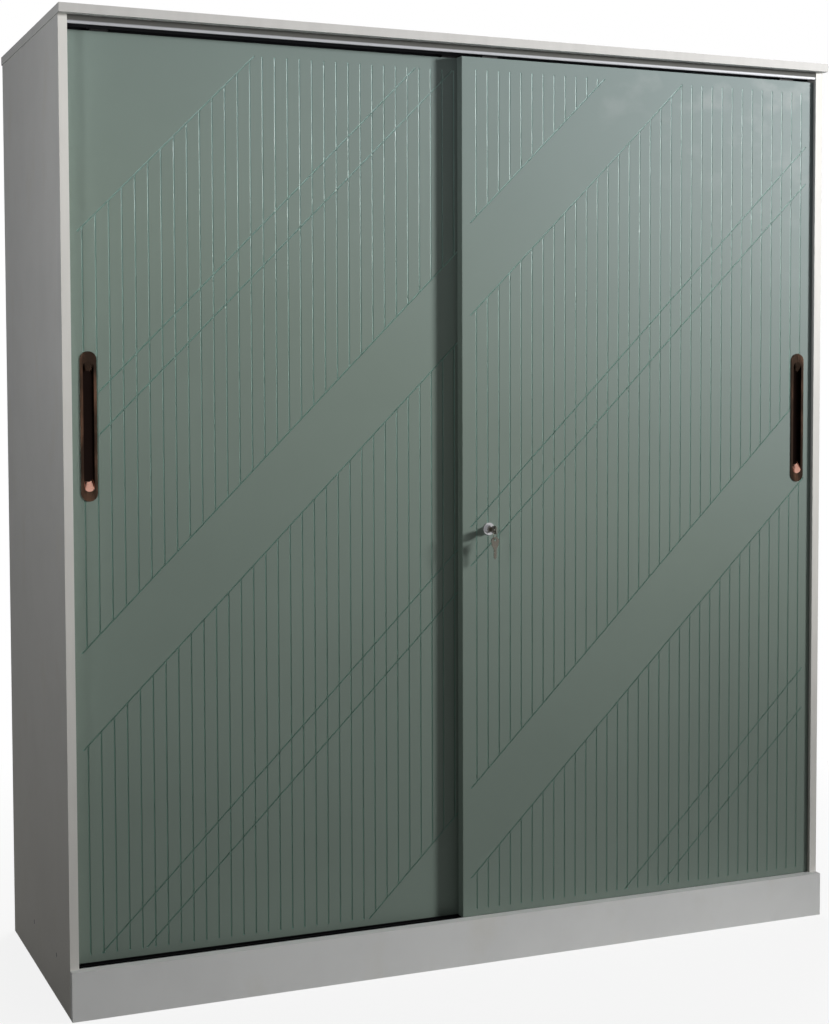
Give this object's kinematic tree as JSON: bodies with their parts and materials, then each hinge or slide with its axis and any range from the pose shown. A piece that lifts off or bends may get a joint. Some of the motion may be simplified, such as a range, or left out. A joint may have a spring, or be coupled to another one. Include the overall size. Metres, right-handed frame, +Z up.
{
  "type": "sliding-door cabinet",
  "caption": "Free-standing white cabinet with overlapping sliding doors in sage green, routed line pattern, flush handles, push lock, shelves and hanging rail.",
  "frame": {"origin": "on the floor, midway between the side panels and midway between the top panel's front edge and the back", "axes": "+X to the right of someone who faces the doors, +Y from the doors to the back, +Z up"},
  "size_m": [1.794, 0.6716, 2.018],
  "materials": {
    "white_melamine": "faced chipboard",
    "white_hardboard": "painted hardboard",
    "sage_door": "matt foil with routed grooves",
    "beech": "bare",
    "anodised_aluminium": "satin anodised",
    "black_aluminium": "black anodised",
    "antique_copper": "antique copper plated",
    "chrome": "polished",
    "nickel": "nickel plated",
    "zinc_steel": "zinc plated",
    "white_nylon": "moulded",
    "soft_plastic": "clear bumper"
  },
  "bodies": {
    "carcass": {"bottom_panel": "white_melamine", "bottom_track": "black_aluminium", "bottom_track_screws": "zinc_steel", "carcass_screws": "zinc_steel", "centre_partition": "white_melamine", "door_buffers": "soft_plastic", "hanging_rail": "chrome", "left_back_panel": "white_hardboard", "left_lower_shelf": "white_melamine", "left_second_shelf": "white_melamine", "left_shelf_pins": "zinc_steel", "left_side_panel": "white_melamine", "left_third_shelf": "white_melamine", "left_upper_shelf": "white_melamine", "plinth_centre_support": "white_melamine", "plinth_front_board": "white_melamine", "plinth_rear_board": "white_melamine", "rail_left_socket": "chrome", "rail_right_socket": "chrome", "rail_socket_screws": "zinc_steel", "rear_door_stop": "white_nylon", "right_back_panel": "white_hardboard", "right_hat_shelf": "white_melamine", "right_shelf_pins": "zinc_steel", "right_shoe_shelf": "white_melamine", "right_side_panel": "white_melamine", "top_panel": "white_melamine", "top_panel_cam_bolts": "zinc_steel", "top_panel_cams": "zinc_steel", "top_panel_dowels": "beech", "top_track": "anodised_aluminium", "top_track_screws": "zinc_steel"},
    "front_door": {"front_door_panel": "sage_door", "front_door_handle": "antique_copper", "front_left_roller_housing": "zinc_steel", "front_right_roller_housing": "zinc_steel", "front_door_axles": "zinc_steel", "front_door_screws": "zinc_steel", "front_left_guide": "white_nylon", "front_right_guide": "white_nylon", "lock_housing": "chrome", "lock_nut": "chrome", "lock_spring": "zinc_steel"},
    "rear_door": {"rear_door_panel": "sage_door", "rear_door_handle": "antique_copper", "rear_left_roller_housing": "zinc_steel", "rear_right_roller_housing": "zinc_steel", "rear_door_axles": "zinc_steel", "rear_door_screws": "zinc_steel", "rear_left_guide": "white_nylon", "rear_right_guide": "white_nylon"},
    "front_left_wheel": {"front_left_wheel": "white_nylon"},
    "front_right_wheel": {"front_right_wheel": "white_nylon"},
    "rear_left_wheel": {"rear_left_wheel": "white_nylon"},
    "rear_right_wheel": {"rear_right_wheel": "white_nylon"},
    "plunger": {"lock_plunger": "chrome"},
    "turning_key": {"lock_plug": "nickel", "key": "nickel"},
    "key_ring": {"key_ring": "nickel"},
    "spare_key": {"spare_key": "nickel"}
  },
  "joints": [
    {"name": "front_door_slide", "type": "slide", "parent": "carcass", "child": "front_door", "axis": [1, 0, 0], "range_m": [-0.846, 0]},
    {"name": "rear_door_slide", "type": "slide", "parent": "carcass", "child": "rear_door", "axis": [-1, 0, 0], "range_m": [-0.78, 0]},
    {"name": "front_left_wheel_turn", "type": "hinge", "parent": "front_door", "child": "front_left_wheel", "pos_m": [0.061, -0.2895, 0.1058], "axis": [0, 1, 0], "range_deg": [-4848, 0]},
    {"name": "front_right_wheel_turn", "type": "hinge", "parent": "front_door", "child": "front_right_wheel", "pos_m": [0.785, -0.2895, 0.1058], "axis": [0, 1, 0], "range_deg": [-4848, 0]},
    {"name": "rear_left_wheel_turn", "type": "hinge", "parent": "rear_door", "child": "rear_left_wheel", "pos_m": [-0.785, -0.2595, 0.1058], "axis": [0, 1, 0], "range_deg": [0, 4470]},
    {"name": "rear_right_wheel_turn", "type": "hinge", "parent": "rear_door", "child": "rear_right_wheel", "pos_m": [-0.061, -0.2595, 0.1058], "axis": [0, 1, 0], "range_deg": [0, 4470]},
    {"name": "lock_push", "type": "slide", "parent": "front_door", "child": "plunger", "axis": [0, 1, 0], "range_m": [0, 0.0095], "stiffness_N_per_m": 200, "deforming": ["lock_spring"]},
    {"name": "key_turn", "type": "hinge", "parent": "plunger", "child": "turning_key", "pos_m": [0.0345, -0.3142, 0.956], "axis": [0, 1, 0], "range_deg": [0, 90]},
    {"name": "key_ring_swing", "type": "hinge", "parent": "turning_key", "child": "key_ring", "pos_m": [0.0345, -0.33425, 0.956], "axis": [1, 0, 0], "range_deg": [-20, 15]},
    {"name": "spare_key_swing", "type": "hinge", "parent": "key_ring", "child": "spare_key", "pos_m": [0.0345, -0.33425, 0.9342], "axis": [0, 1, 0], "range_deg": [-30, 30]}
  ],
  "couplings": [
    {"joint": "front_left_wheel_turn", "follows": "front_door_slide", "rad_per_m": 100},
    {"joint": "front_right_wheel_turn", "follows": "front_door_slide", "rad_per_m": 100},
    {"joint": "rear_left_wheel_turn", "follows": "rear_door_slide", "rad_per_m": -100},
    {"joint": "rear_right_wheel_turn", "follows": "rear_door_slide", "rad_per_m": -100}
  ]
}
